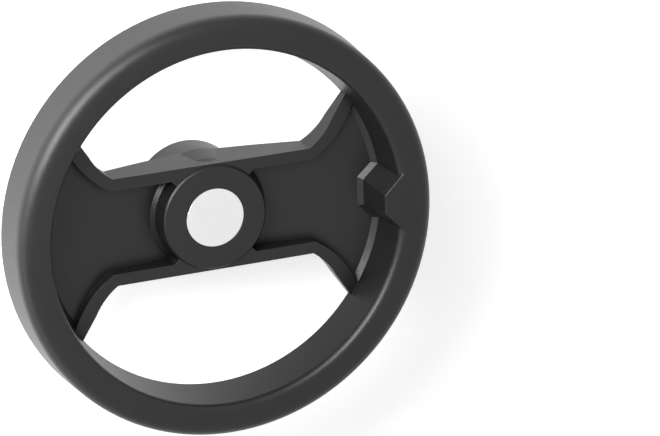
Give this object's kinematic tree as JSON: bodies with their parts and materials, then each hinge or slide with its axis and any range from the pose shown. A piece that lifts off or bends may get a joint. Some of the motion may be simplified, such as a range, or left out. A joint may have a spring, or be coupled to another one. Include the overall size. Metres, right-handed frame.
{
  "type": "handwheel",
  "caption": "Machine handwheel in matte black plastic: rounded rim, dished web with spokes in one line, long hub with a keyed steel bush, and a plain aluminium cover disc.",
  "frame": {"origin": "centre of the hub's back face, where the shaft enters", "axes": "+Z along the wheel's axis toward its front face, +X along the spoke that ends at the rim's boss"},
  "size_m": [0.1999, 0.2, 0.0577],
  "materials": {
    "black_polyamide": "fine matte moulded surface",
    "bush_steel": "turned",
    "disc_aluminium": "satin"
  },
  "bodies": {
    "root": {"wheel_body": "black_polyamide", "hub_bush": "bush_steel", "cover_disc": "disc_aluminium"}
  },
  "joints": []
}
